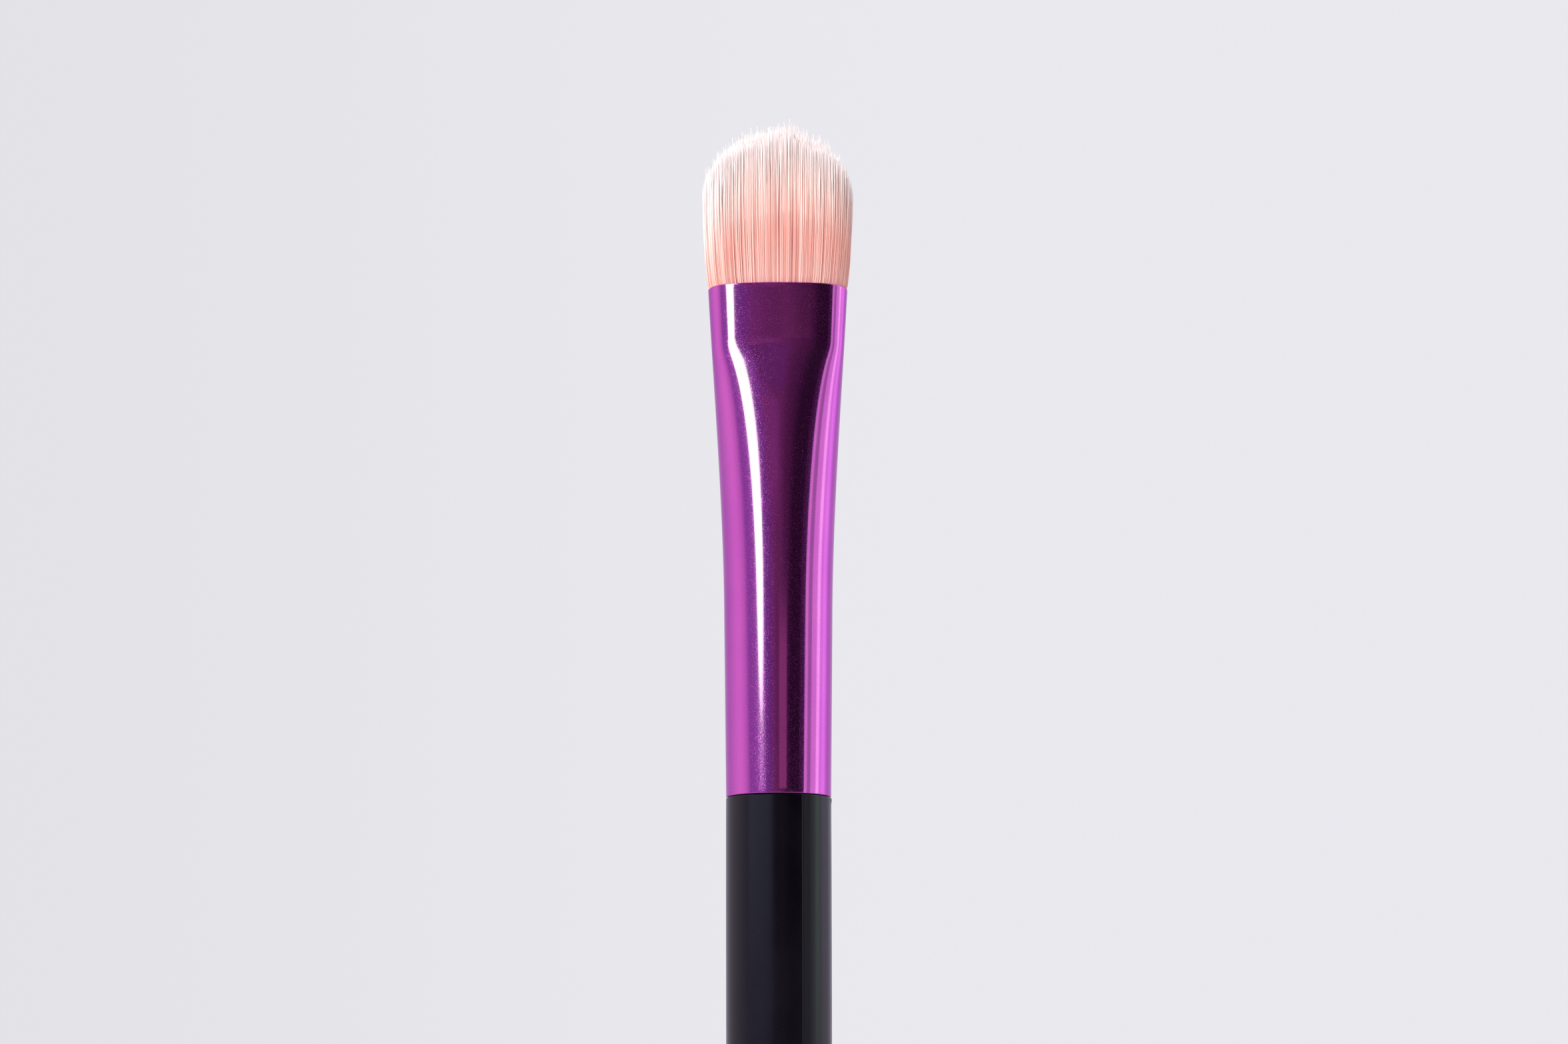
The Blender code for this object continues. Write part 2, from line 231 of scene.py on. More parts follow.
class Wiring:
    """A node tree, with short ways to add and join its nodes."""

    def __init__(self, tree: bpy.types.NodeTree) -> None:
        """Takes the tree that the nodes go into."""
        self.tree = tree

    def add(self, kind: str, **settings: object) -> bpy.types.Node:
        """Adds a node, sets its properties, and then its inputs by name where a property has none.

        Args:
            kind: The node's type, such as ShaderNodeTexNoise.
            settings: Properties, or inputs with spaces written as underscores.

        Returns:
            The new node.
        """
        node = self.tree.nodes.new(kind)
        for key, value in settings.items():
            if hasattr(node, key):
                setattr(node, key, value)
            else:
                node.inputs[key.replace("_", " ")].default_value = value
        return node

    def join(self, source: Socket, target: Socket) -> None:
        """Links one socket to another."""
        self.tree.links.new(source, target)

    def feed(self, target: Socket, value: object) -> None:
        """Links an input to a socket, or sets it to a number or a colour.

        Args:
            target: The input.
            value: The socket, number or colour.
        """
        if isinstance(value, Socket):
            self.join(value, target)
        else:
            target.default_value = (*value, 1.0) if isinstance(value, tuple) else value

    def math(self, operation: str, first: object, second: object) -> Socket:
        """Works two inputs out with a Math node.

        Args:
            operation: What the node does with them.
            first: The first input, a socket or a number.
            second: The second input, likewise.

        Returns:
            The result.
        """
        node = self.add("ShaderNodeMath", operation=operation)
        self.feed(node.inputs[0], first)
        self.feed(node.inputs[1], second)
        return node.outputs[0]

    def spread(self, value: Socket, span: Range, to: Range = (0.0, 1.0)) -> Socket:
        """Carries a value from one range to another and holds it inside that, on an S curve.

        Args:
            value: The value.
            span: The range that it comes from.
            to: The range that it goes to.

        Returns:
            The value in its new range.
        """
        node = self.add("ShaderNodeMapRange", interpolation_type="SMOOTHSTEP")
        self.join(value, node.inputs["Value"])
        for name, number in zip(("From Min", "From Max", "To Min", "To Max"), (*span, *to)):
            node.inputs[name].default_value = number
        return node.outputs["Result"]

    def blend(self, share: Socket, first: object, second: object) -> Socket:
        """Mixes two colours.

        Args:
            share: The share of the second colour.
            first: The first colour, or a socket that gives it.
            second: The second colour, likewise.

        Returns:
            The mixed colour.
        """
        node = self.add("ShaderNodeMix", data_type="RGBA")
        self.join(share, node.inputs["Factor"])
        self.feed(node.inputs[MIX_FIRST], first)
        self.feed(node.inputs[MIX_SECOND], second)
        return node.outputs[MIX_RESULT]

    def ramp(self, value: Socket, stops: Stops) -> Socket:
        """Looks a value up on a colour ramp.

        Args:
            value: The value.
            stops: The ramp's places and their colours, from low to high.

        Returns:
            The colour.
        """
        node = self.add("ShaderNodeValToRGB")
        elements = node.color_ramp.elements
        elements.remove(elements[1])
        elements[0].position = stops[0][0]
        elements[0].color = (*stops[0][1], 1.0)
        for place, colour in stops[1:]:
            elements.new(place).color = (*colour, 1.0)
        self.join(value, node.inputs["Fac"])
        return node.outputs["Color"]

    def split(self, vector: Socket) -> bpy.types.NodeOutputs:
        """Takes a vector apart.

        Args:
            vector: The vector.

        Returns:
            Its X, Y and Z as three outputs.
        """
        node = self.add("ShaderNodeSeparateXYZ")
        self.join(vector, node.inputs["Vector"])
        return node.outputs


@dataclass(frozen=True)
class Dust:
    """Specks on a surface, at most one in each cell of a pattern.

    The spacing is the cells' size, and the share is that of the cells that have a speck.
    """

    colour: Colour
    radius: float
    spacing: float = 0.8 * MM
    share: float = 0.35


class Shading(Wiring):
    """A material's nodes: patterns in its own coordinates, and a Principled shader to join them to."""

    def __init__(self, name: str) -> None:
        """Starts a material that holds only a Principled shader and the output.

        Args:
            name: The material's name.
        """
        self.material = bpy.data.materials.new(name)
        self.material.use_nodes = True
        super().__init__(self.material.node_tree)
        self.shader = self.tree.nodes["Principled BSDF"]

    def uniform(self, **settings: float | Colour) -> None:
        """Sets the shader's own sockets, named with underscores for spaces."""
        for key, value in settings.items():
            self.feed(self.shader.inputs[key.replace("_", " ")], value)

    def give(self, name: str, source: Socket) -> None:
        """Joins a pattern to the shader's input of this name."""
        self.join(source, self.shader.inputs[name])

    def place(self, scale: Triple = (1.0, 1.0, 1.0)) -> Socket:
        """Reads the piece's own coordinates in metres.

        Args:
            scale: How much they are stretched along each axis.

        Returns:
            The coordinates.
        """
        coordinates = self.add("ShaderNodeTexCoord")
        mapping = self.add("ShaderNodeMapping", Scale=scale)
        self.join(coordinates.outputs["Object"], mapping.inputs["Vector"])
        return mapping.outputs["Vector"]

    def noise(self, size: float, scale: Triple = (1.0, 1.0, 1.0), detail: float = 2.0) -> Socket:
        """Makes noise in the piece's own coordinates.

        Args:
            size: About how large its blotches are, in metres.
            scale: How much it is squeezed along each axis. Under 1, the blotches are drawn out there.
            detail: How many finer layers it has.

        Returns:
            The noise, from 0 to 1.
        """
        node = self.add("ShaderNodeTexNoise", Scale=1 / size, Detail=detail)
        self.join(self.place(scale), node.inputs["Vector"])
        return node.outputs["Fac"]

    def specks(self, dust: Dust) -> Socket:
        """Puts round specks on a share of the cells of a Voronoi pattern.

        Args:
            dust: The specks.

        Returns:
            A mask that is 1 in the specks.
        """
        cells = self.add("ShaderNodeTexVoronoi", Scale=1 / dust.spacing)
        self.join(self.place(), cells.inputs["Vector"])
        reach = dust.radius / dust.spacing
        inside = self.spread(cells.outputs["Distance"], (reach / 2, reach), (1.0, 0.0))
        chosen = self.add("ShaderNodeSeparateColor")
        self.join(cells.outputs["Color"], chosen.inputs["Color"])
        kept = self.math("LESS_THAN", chosen.outputs["Red"], dust.share)
        return self.math("MULTIPLY", inside, kept)

    def bump(self, height: Socket, depth: float, target: str = "Normal") -> None:
        """Joins a height pattern to one of the shader's normals.

        Args:
            height: The pattern.
            depth: Its depth in metres.
            target: The normal's name.
        """
        node = self.add("ShaderNodeBump", Distance=depth)
        self.join(height, node.inputs["Height"])
        self.give(target, node.outputs["Normal"])


@dataclass(frozen=True)
class AnodisedFinish:
    """Bright aluminium under a dyed oxide layer, whose pores scatter a haze round each reflection."""

    dye: Colour = (0.60, 0.096, 0.55)
    deep_dye: Colour = (0.57, 0.084, 0.54)
    edge_dye: Colour = (0.80, 0.58, 0.80)
    dye_patch: float = 6.0 * MM
    patch_span: Range = (0.35, 0.65)
    roughness: Range = (0.035, 0.055)
    haze_weight: float = 0.35
    haze_index: float = 1.8
    haze_roughness: float = 0.15
    pore: float = 0.050 * MM
    pore_span: Range = (0.56, 0.68)
    pore_roughness: float = 0.27
    pore_depth: float = 0.0016 * MM
    line: float = 0.22 * MM
    line_scale: Triple = (1.0, 1.0, 0.03)
    line_span: Range = (0.3, 0.7)
    line_depth: float = 0.0002 * MM
    dust: Dust = Dust((0.70, 0.45, 0.72), 0.030 * MM)
    dust_roughness: float = 0.4

    def build(self) -> bpy.types.Material:
        """Joins drawing lines in the gloss, patches in the dye, pores in the haze, and dust.

        Returns:
            The material.
        """
        shading = Shading(Slot.ALUMINIUM.value)
        shading.uniform(
            Metallic=1.0,
            Specular_Tint=self.edge_dye,
            Coat_Weight=self.haze_weight,
            Coat_IOR=self.haze_index,
            Coat_Roughness=self.haze_roughness,
        )
        patches = shading.spread(shading.noise(self.dye_patch), self.patch_span)
        dyed = shading.blend(patches, self.dye, self.deep_dye)
        specks = shading.specks(self.dust)
        shading.give("Base Color", shading.blend(specks, dyed, self.dust.colour))
        lines = shading.noise(self.line, self.line_scale, detail=3.0)
        gloss = shading.spread(lines, self.line_span, self.roughness)
        grain = shading.noise(self.pore)
        pores = shading.spread(grain, self.pore_span, (0.0, self.pore_roughness))
        matt = shading.math("MAXIMUM", pores, shading.math("MULTIPLY", specks, self.dust_roughness))
        shading.give("Roughness", shading.math("ADD", gloss, matt))
        shading.bump(lines, self.line_depth)
        shading.bump(grain, self.pore_depth, "Coat Normal")
        return shading.material


@dataclass(frozen=True)
class MouldedFinish:
    """Black plastic with the satin of a lightly blasted mould, handling marks and dust."""

    black: Colour = (0.0009, 0.0008, 0.0020)
    bloom: Colour = (0.0020, 0.0018, 0.0040)
    bloom_span: Range = (0.4, 0.7)
    sheen: Colour = (0.84, 0.74, 1.0)
    gloss: float = 0.32
    gloss_span: Range = (0.3, 0.7)
    roughness: Range = (0.20, 0.26)
    smudge: float = 5.0 * MM
    grain: float = 0.14 * MM
    grain_depth: float = 0.0030 * MM
    dust: Dust = Dust((0.10, 0.095, 0.10), 0.026 * MM)

    def build(self) -> bpy.types.Material:
        """Joins smudges in the colour and the gloss, grain in the bump, and dust.

        Returns:
            The material.
        """
        shading = Shading(Slot.PLASTIC.value)
        shading.uniform(Specular_IOR_Level=self.gloss, Specular_Tint=self.sheen)
        smudges = shading.noise(self.smudge, detail=4.0)
        toned = shading.blend(shading.spread(smudges, self.bloom_span), self.black, self.bloom)
        specks = shading.specks(self.dust)
        shading.give("Base Color", shading.blend(specks, toned, self.dust.colour))
        shading.give("Roughness", shading.spread(smudges, self.gloss_span, self.roughness))
        shading.bump(shading.noise(self.grain, detail=3.0), self.grain_depth)
        return shading.material


@dataclass(frozen=True)
class ResinFinish:
    """Cured adhesive, amber and a little cloudy."""

    amber: Colour = (0.62, 0.50, 0.27)
    cloud: Colour = (0.74, 0.66, 0.46)
    roughness: float = 0.32
    cloud_size: float = 1.2 * MM
    ripple_depth: float = 0.02 * MM

    def build(self) -> bpy.types.Material:
        """Joins clouds in the colour and ripples in the bump.

        Returns:
            The material.
        """
        shading = Shading(Slot.EPOXY.value)
        shading.uniform(Roughness=self.roughness)
        clouds = shading.noise(self.cloud_size, detail=3.0)
        shading.give("Base Color", shading.blend(clouds, self.amber, self.cloud))
        shading.bump(clouds, self.ripple_depth)
        return shading.material


@dataclass(frozen=True)
class FilamentFinish:
    """Synthetic filament, dyed from the root up, with a white tip that fades into it.

    The piece's UV map says how each filament is coloured: U is its own shade of the dye, from 0 to 1,
    and V is how far along it a point lies, from 0 at the root to 1 at the tip. The outermost filaments
    on the lamp's side have V pushed towards the tip, which paints in the light that comes through them.
    """

    fade: Stops = (
        (0.10, (0.985, 0.595, 0.535)),
        (0.40, (0.99, 0.54, 0.465)),
        (0.68, (0.99, 0.755, 0.695)),
        (1.00, (0.985, 0.915, 0.910)),
    )
    shade: Colour = (0.92, 0.40, 0.33)
    shade_share: float = 0.26
    shade_span: Range = (0.60, 1.0)
    shade_kept: Range = (1.0, 0.35)
    roughness: float = 0.45

    def build(self) -> bpy.types.Material:
        """Joins the dye's fade along V, and each filament's own shade by U, which the tip has less of.

        Returns:
            The material.
        """
        shading = Shading(Slot.FIBRE.value)
        shading.uniform(Roughness=self.roughness)
        axes = shading.split(shading.add("ShaderNodeUVMap", uv_map=STRAND_MAP).outputs["UV"])
        dyed = shading.ramp(axes["Y"], self.fade)
        shaded = shading.math("MULTIPLY", axes["X"], self.shade_share)
        kept = shading.spread(axes["Y"], self.shade_span, self.shade_kept)
        share = shading.math("MULTIPLY", shaded, kept)
        shading.give("Base Color", shading.blend(share, dyed, self.shade))
        return shading.material


@dataclass
class Ferrule:
    """The drawn tube: round at its hem, swaged wide and nipped flat at its mouth.

    Its section at a height is a smoothed oval. The radius of curvature is an end radius plus a step
    that comes in round the middle of each face, as one over one plus a power of the normal's angle
    from the face's middle over the crown angle. The step and the end radius follow from the half
    width and half thickness, which the outline keeps exactly.
    """

    bottom: float
    top: float
    tube_radius: float = 4.0 * MM
    wall: float = 0.35 * MM
    mouth_half_width: float = 5.46 * MM
    mouth_half_thickness: float = 2.50 * MM
    crease_half_thickness: float = 2.30 * MM
    mouth_crown: float = math.radians(8)
    round_crown: float = math.radians(45)
    mouth_power: float = 2.6
    round_power: float = 4.0
    collar: float = 5.2 * MM
    nip_reach: float = 3.2 * MM
    nip_limit: float = 4.0
    crown_reach: float = 20.0 * MM
    crease_softness: float = 0.28
    taper_share: float = 0.32
    swage_start_share: float = 0.36
    swage_end_share: float = 1.27
    rim_round: float = 0.14 * MM
    hem_round: float = 0.03 * MM
    quarter_steps: int = 72
    quarter_power: float = 1.6
    round_steps: int = 10
    side_steps: int = 120
    bore_steps: int = 60
    crease_steps: int = 60
    crease_span: Range = (-3.0 * MM, 1.2 * MM)

    def crease(self) -> float:
        """The height of the crease below the collar."""
        return self.top - self.collar

    def flare(self, z: np.ndarray) -> np.ndarray:
        """How much of its widening the tube has reached: a slow taper, and on it the swage's S curve.

        Args:
            z: Heights.

        Returns:
            The share at each height, 0 at the hem and 1 at the mouth.
        """
        share = np.clip((z - self.bottom) / (self.top - self.bottom), 0.0, 1.0)
        span = self.swage_end_share - self.swage_start_share
        swage = smoothstep((share - self.swage_start_share) / span)
        whole = smoothstep((1.0 - self.swage_start_share) / span)
        return self.taper_share * share + (1 - self.taper_share) * swage / whole

    def nip(self, z: np.ndarray) -> np.ndarray:
        """How far the tube is pressed flat: 1 in the collar, and an exponential below the crease."""
        rising = np.exp(np.minimum((z - self.crease()) / self.nip_reach, self.nip_limit))
        return soft_least(rising, 1.0, self.crease_softness)

    def half_width(self, z: np.ndarray) -> np.ndarray:
        """Half the width across X at each height."""
        return mix(self.tube_radius, self.mouth_half_width, self.flare(z))

    def half_thickness(self, z: np.ndarray) -> np.ndarray:
        """Half the thickness across Y, which opens again evenly from the crease to the mouth.

        Args:
            z: Heights.

        Returns:
            The half thickness at each height.
        """
        opened = np.maximum(z - self.crease(), 0.0) / self.collar
        pressed = mix(self.crease_half_thickness, self.mouth_half_thickness, opened)
        return mix(self.tube_radius, pressed, self.nip(z))

    def crown(self, z: np.ndarray) -> tuple[np.ndarray, np.ndarray]:
        """How round the faces are: they flatten as the tube is pressed, but over a longer reach.

        Args:
            z: Heights.

        Returns:
            Columns of the crown angle, and of its power, which follows the cube of that flattening.
        """
        flattened = self.nip(z) ** (self.nip_reach / self.crown_reach)
        angle = mix(self.round_crown, self.mouth_crown, flattened)
        power = mix(self.round_power, self.mouth_power, flattened**3)
        return angle[:, None], power[:, None]

    def rings(self, z: np.ndarray, inset: np.ndarray) -> np.ndarray:
        """The outline at each height, moved in along its normals.

        The outline is found for one quarter by its normal's angle t from +X, in steps that close up
        towards the face's middle by the quarter power. X is the end radius times cos t, plus the step
        times the sum of weight times sine from t to a quarter turn. Y is the end radius times sin t,
        plus the step times the sum of weight times cosine from 0 to t.

        Args:
            z: The rings' heights.
            inset: How far each ring lies inside the outer skin.

        Returns:
            Points as rows of rings, anticlockwise from above, four quarters each.
        """
        share = np.linspace(0.0, 1.0, self.quarter_steps + 1)
        angle = QUARTER_TURN * (1 - (1 - share) ** self.quarter_power)
        crown, power = self.crown(z)
        weight = 1 / (1 + ((QUARTER_TURN - angle) / crown) ** power)
        start = np.zeros((len(z), 1))
        sines, cosines = (
            np.hstack((start, np.cumsum((part[:, 1:] + part[:, :-1]) / 2 * np.diff(angle), axis=1)))
            for part in (weight * np.sin(angle), weight * np.cos(angle))
        )
        wide = self.half_width(z)[:, None]
        thick = self.half_thickness(z)[:, None]
        radius_step = (wide - thick) / (sines[:, -1:] - cosines[:, -1:])
        end_radius = wide - radius_step * sines[:, -1:]
        x = end_radius * np.cos(angle) + radius_step * (sines[:, -1:] - sines)
        y = end_radius * np.sin(angle) + radius_step * cosines
        x = x - inset[:, None] * np.cos(angle)
        y = y - inset[:, None] * np.sin(angle)
        x_turn = np.hstack((x[:, :-1], -x[:, :0:-1], -x[:, :-1], x[:, :0:-1]))
        y_turn = np.hstack((y[:, :-1], y[:, :0:-1], -y[:, :-1], -y[:, :0:-1]))
        return np.stack((x_turn, y_turn, np.broadcast_to(z[:, None], x_turn.shape)), axis=2)

    def profile(self) -> tuple[np.ndarray, np.ndarray]:
        """The way up the outer skin, over the rim, down the bore and round the hem.

        The outer skin has extra rings over the crease span, which is measured from the crease.

        Returns:
            Heights and insets. Each rounded edge is a quarter circle from the skin to the end face.
        """
        turn = np.linspace(0.0, QUARTER_TURN, self.round_steps)
        inward, endward = 1 - np.cos(turn), 1 - np.sin(turn)
        rim_in, rim_z = self.rim_round * inward, self.top - self.rim_round * endward
        hem_in, hem_z = self.hem_round * inward, self.bottom + self.hem_round * endward
        even = np.linspace(hem_z[0], rim_z[0], self.side_steps)
        close = np.linspace(*(self.crease() + end for end in self.crease_span), self.crease_steps)
        side = np.unique(np.concatenate((even, close)))[1:-1]
        bore = np.linspace(rim_z[0], hem_z[0], self.bore_steps)[1:-1]
        z = np.concatenate((hem_z[::-1], side, rim_z, rim_z[::-1], bore, hem_z))
        inset = np.concatenate((
            hem_in[::-1],
            np.zeros(len(side)),
            rim_in,
            self.wall - rim_in[::-1],
            np.full(len(bore), self.wall),
            self.wall - hem_in,
        ))
        return z, inset

    def make(self) -> None:
        """Builds the whole skin, inside and out, and dresses it."""
        z, inset = self.profile()
        points = self.rings(z, inset)
        faces = grid_quads(len(z), points.shape[1], wrap_rows=True)
        skin = make_piece("ferrule_skin", points, [faces])
        dress(skin, AnodisedFinish().build(), Slot.ALUMINIUM, Node.FERRULE)


@dataclass
class Handle:
    """The moulded handle: domed tail, slow taper, straight top, and the tenon inside the ferrule.

    The steps round it are close together near the parting lines: the close reach is how far on each
    side, and the cleared reach how far the even steps stay away, both in degrees.
    """

    shoulder: float
    tenon_top: float
    body_radius: float = 4.0 * MM
    tail_radius: float = 2.8 * MM
    tail_flat_radius: float = 0.9 * MM
    dome_height: float = 3.2 * MM
    straight: float = 2.0 * MM
    shoulder_round: float = 0.10 * MM
    spigot_radius: float = 3.59 * MM
    spigot_height: float = 1.0 * MM
    tenon_radius: float = 3.15 * MM
    lead_in: float = 0.6 * MM
    groove_count: int = 3
    groove_width: float = 1.4 * MM
    groove_depth: float = 0.35 * MM
    groove_flank: float = 0.4 * MM
    parting_azimuth: float = 25.5
    parting_height: float = 0.016 * MM
    parting_half_width: float = 0.05 * MM
    burr_azimuth: float = 84.0
    burr_height: float = 0.05 * MM
    burr_half_width: float = 0.35 * MM
    burr_half_height: float = 0.22 * MM
    turn_steps: int = 176
    close_reach: float = 2.4
    close_steps: int = 13
    cleared_reach: float = 2.9
    tail_steps: int = 28
    body_steps: int = 60
    shoulder_steps: int = 12

    def tail(self) -> np.ndarray:
        """The dome from the flat's rim up: an ellipse arc that ends upright.

        Returns:
            Rows of radius and height.
        """
        start = math.asin(self.tail_flat_radius / self.tail_radius)
        turn = np.linspace(start, QUARTER_TURN, self.tail_steps)
        height = self.dome_height * (1 - np.cos(turn) / math.cos(start))
        return np.stack((self.tail_radius * np.sin(turn), height), axis=1)

    def body(self) -> np.ndarray:
        """The taper, a quarter of a sine wave, then the straight top and its rounded shoulder.

        Returns:
            Rows of radius and height.
        """
        taper_end = self.shoulder - self.straight
        share = np.linspace(0.0, 1.0, self.body_steps)[1:]
        radius = mix(self.tail_radius, self.body_radius, np.sin(QUARTER_TURN * share))
        taper = np.stack((radius, mix(self.dome_height, taper_end, share)), axis=1)
        heights = np.linspace(taper_end, self.shoulder - self.shoulder_round, self.body_steps)[1:-1]
        straight = np.stack((np.full(len(heights), self.body_radius), heights), axis=1)
        turn = np.linspace(0.0, QUARTER_TURN, self.shoulder_steps)
        round_radius = self.body_radius - self.shoulder_round * (1 - np.cos(turn))
        round_height = self.shoulder - self.shoulder_round * (1 - np.sin(turn))
        return np.concatenate((taper, straight, np.stack((round_radius, round_height), axis=1)))

    def tenon(self) -> np.ndarray:
        """The spigot step and the grooved tenon above it.

        Returns:
            Their corners as rows of radius and height.
        """
        low = self.shoulder + self.spigot_height
        high = self.tenon_top - self.lead_in
        land = (high - low - self.groove_count * self.groove_width) / (self.groove_count + 1)
        floor = self.tenon_radius - self.groove_depth
        corners = [
            (self.spigot_radius, self.shoulder),
            (self.spigot_radius, low),
            (self.tenon_radius, low),
        ]
        for number in range(self.groove_count):
            edge = low + land + number * (land + self.groove_width)
            corners.append((self.tenon_radius, edge))
            corners.append((floor, edge + self.groove_flank))
            corners.append((floor, edge + self.groove_width - self.groove_flank))
            corners.append((self.tenon_radius, edge + self.groove_width))
        corners.append((self.tenon_radius, high))
        corners.append((self.tenon_radius - self.lead_in / 2, self.tenon_top))
        return np.array(corners)

    def azimuths(self) -> np.ndarray:
        """Even steps round the handle, with close ones across the two parting lines.

        Returns:
            Rising azimuths in radians.
        """
        even = np.linspace(0.0, 360.0, self.turn_steps, endpoint=False)
        partings = (self.parting_azimuth, self.parting_azimuth + 180.0)
        across = np.linspace(-self.close_reach, self.close_reach, self.close_steps)
        near = np.min([np.abs(even - parting) for parting in partings], axis=0) < self.cleared_reach
        lines = [parting + across for parting in partings]
        return np.radians(np.sort(np.concatenate((even[~near], *lines))))

    def surface(self, outline: np.ndarray, azimuth: np.ndarray) -> np.ndarray:
        """Turns the outline, with what the mould left on it.

        A parting line is a ridge as one over the exponential of its squared distance over its half
        width. The burr at the shoulder is such a bump along both ways.

        Args:
            outline: Rows of radius and height.
            azimuth: Radians from the camera's side, towards +X.

        Returns:
            Points as rows of rings.
        """
        radius = outline[:, :1]
        height = outline[:, 1:]
        on_body = smoothstep((height - self.dome_height) / self.dome_height) * (height < self.shoulder)
        ridge = np.zeros((1, len(azimuth)))
        for line in (self.parting_azimuth, self.parting_azimuth + 180.0):
            away = np.radians(line) - azimuth
            arc = np.abs(np.arctan2(np.sin(away), np.cos(away))) * self.body_radius
            ridge = ridge + self.parting_height * np.exp(-((arc / self.parting_half_width) ** 2))
        burr_arc = (azimuth - math.radians(self.burr_azimuth)) * self.body_radius / self.burr_half_width
        burr_rise = (height - self.shoulder + self.burr_half_height) / self.burr_half_height
        burr = self.burr_height * np.exp(-(burr_arc**2) - burr_rise**2) * (height <= self.shoulder)
        grown = radius + ridge * on_body + burr
        x = grown * np.sin(azimuth)
        y = -grown * np.cos(azimuth)
        return np.stack((x, y, np.broadcast_to(height, x.shape)), axis=2)

    def make(self) -> None:
        """Builds the handle as one closed turned skin and dresses it."""
        outline = np.concatenate((self.tail(), self.body(), self.tenon()))
        rings = self.surface(outline, self.azimuths())
        rows, columns = rings.shape[:2]
        poles = np.array([[0.0, 0.0, outline[0, 1]], [0.0, 0.0, outline[-1, 1]]])
        points = np.concatenate((rings.reshape(-1, 3), poles))
        faces = [
            grid_quads(rows, columns, wrap_rows=False),
            fan(0, columns, rows * columns, upward=False),
            fan((rows - 1) * columns, columns, rows * columns + 1, upward=True),
        ]
        skin = make_piece("handle_moulding", points, faces)
        dress(skin, MouldedFinish().build(), Slot.PLASTIC, Node.HANDLE)


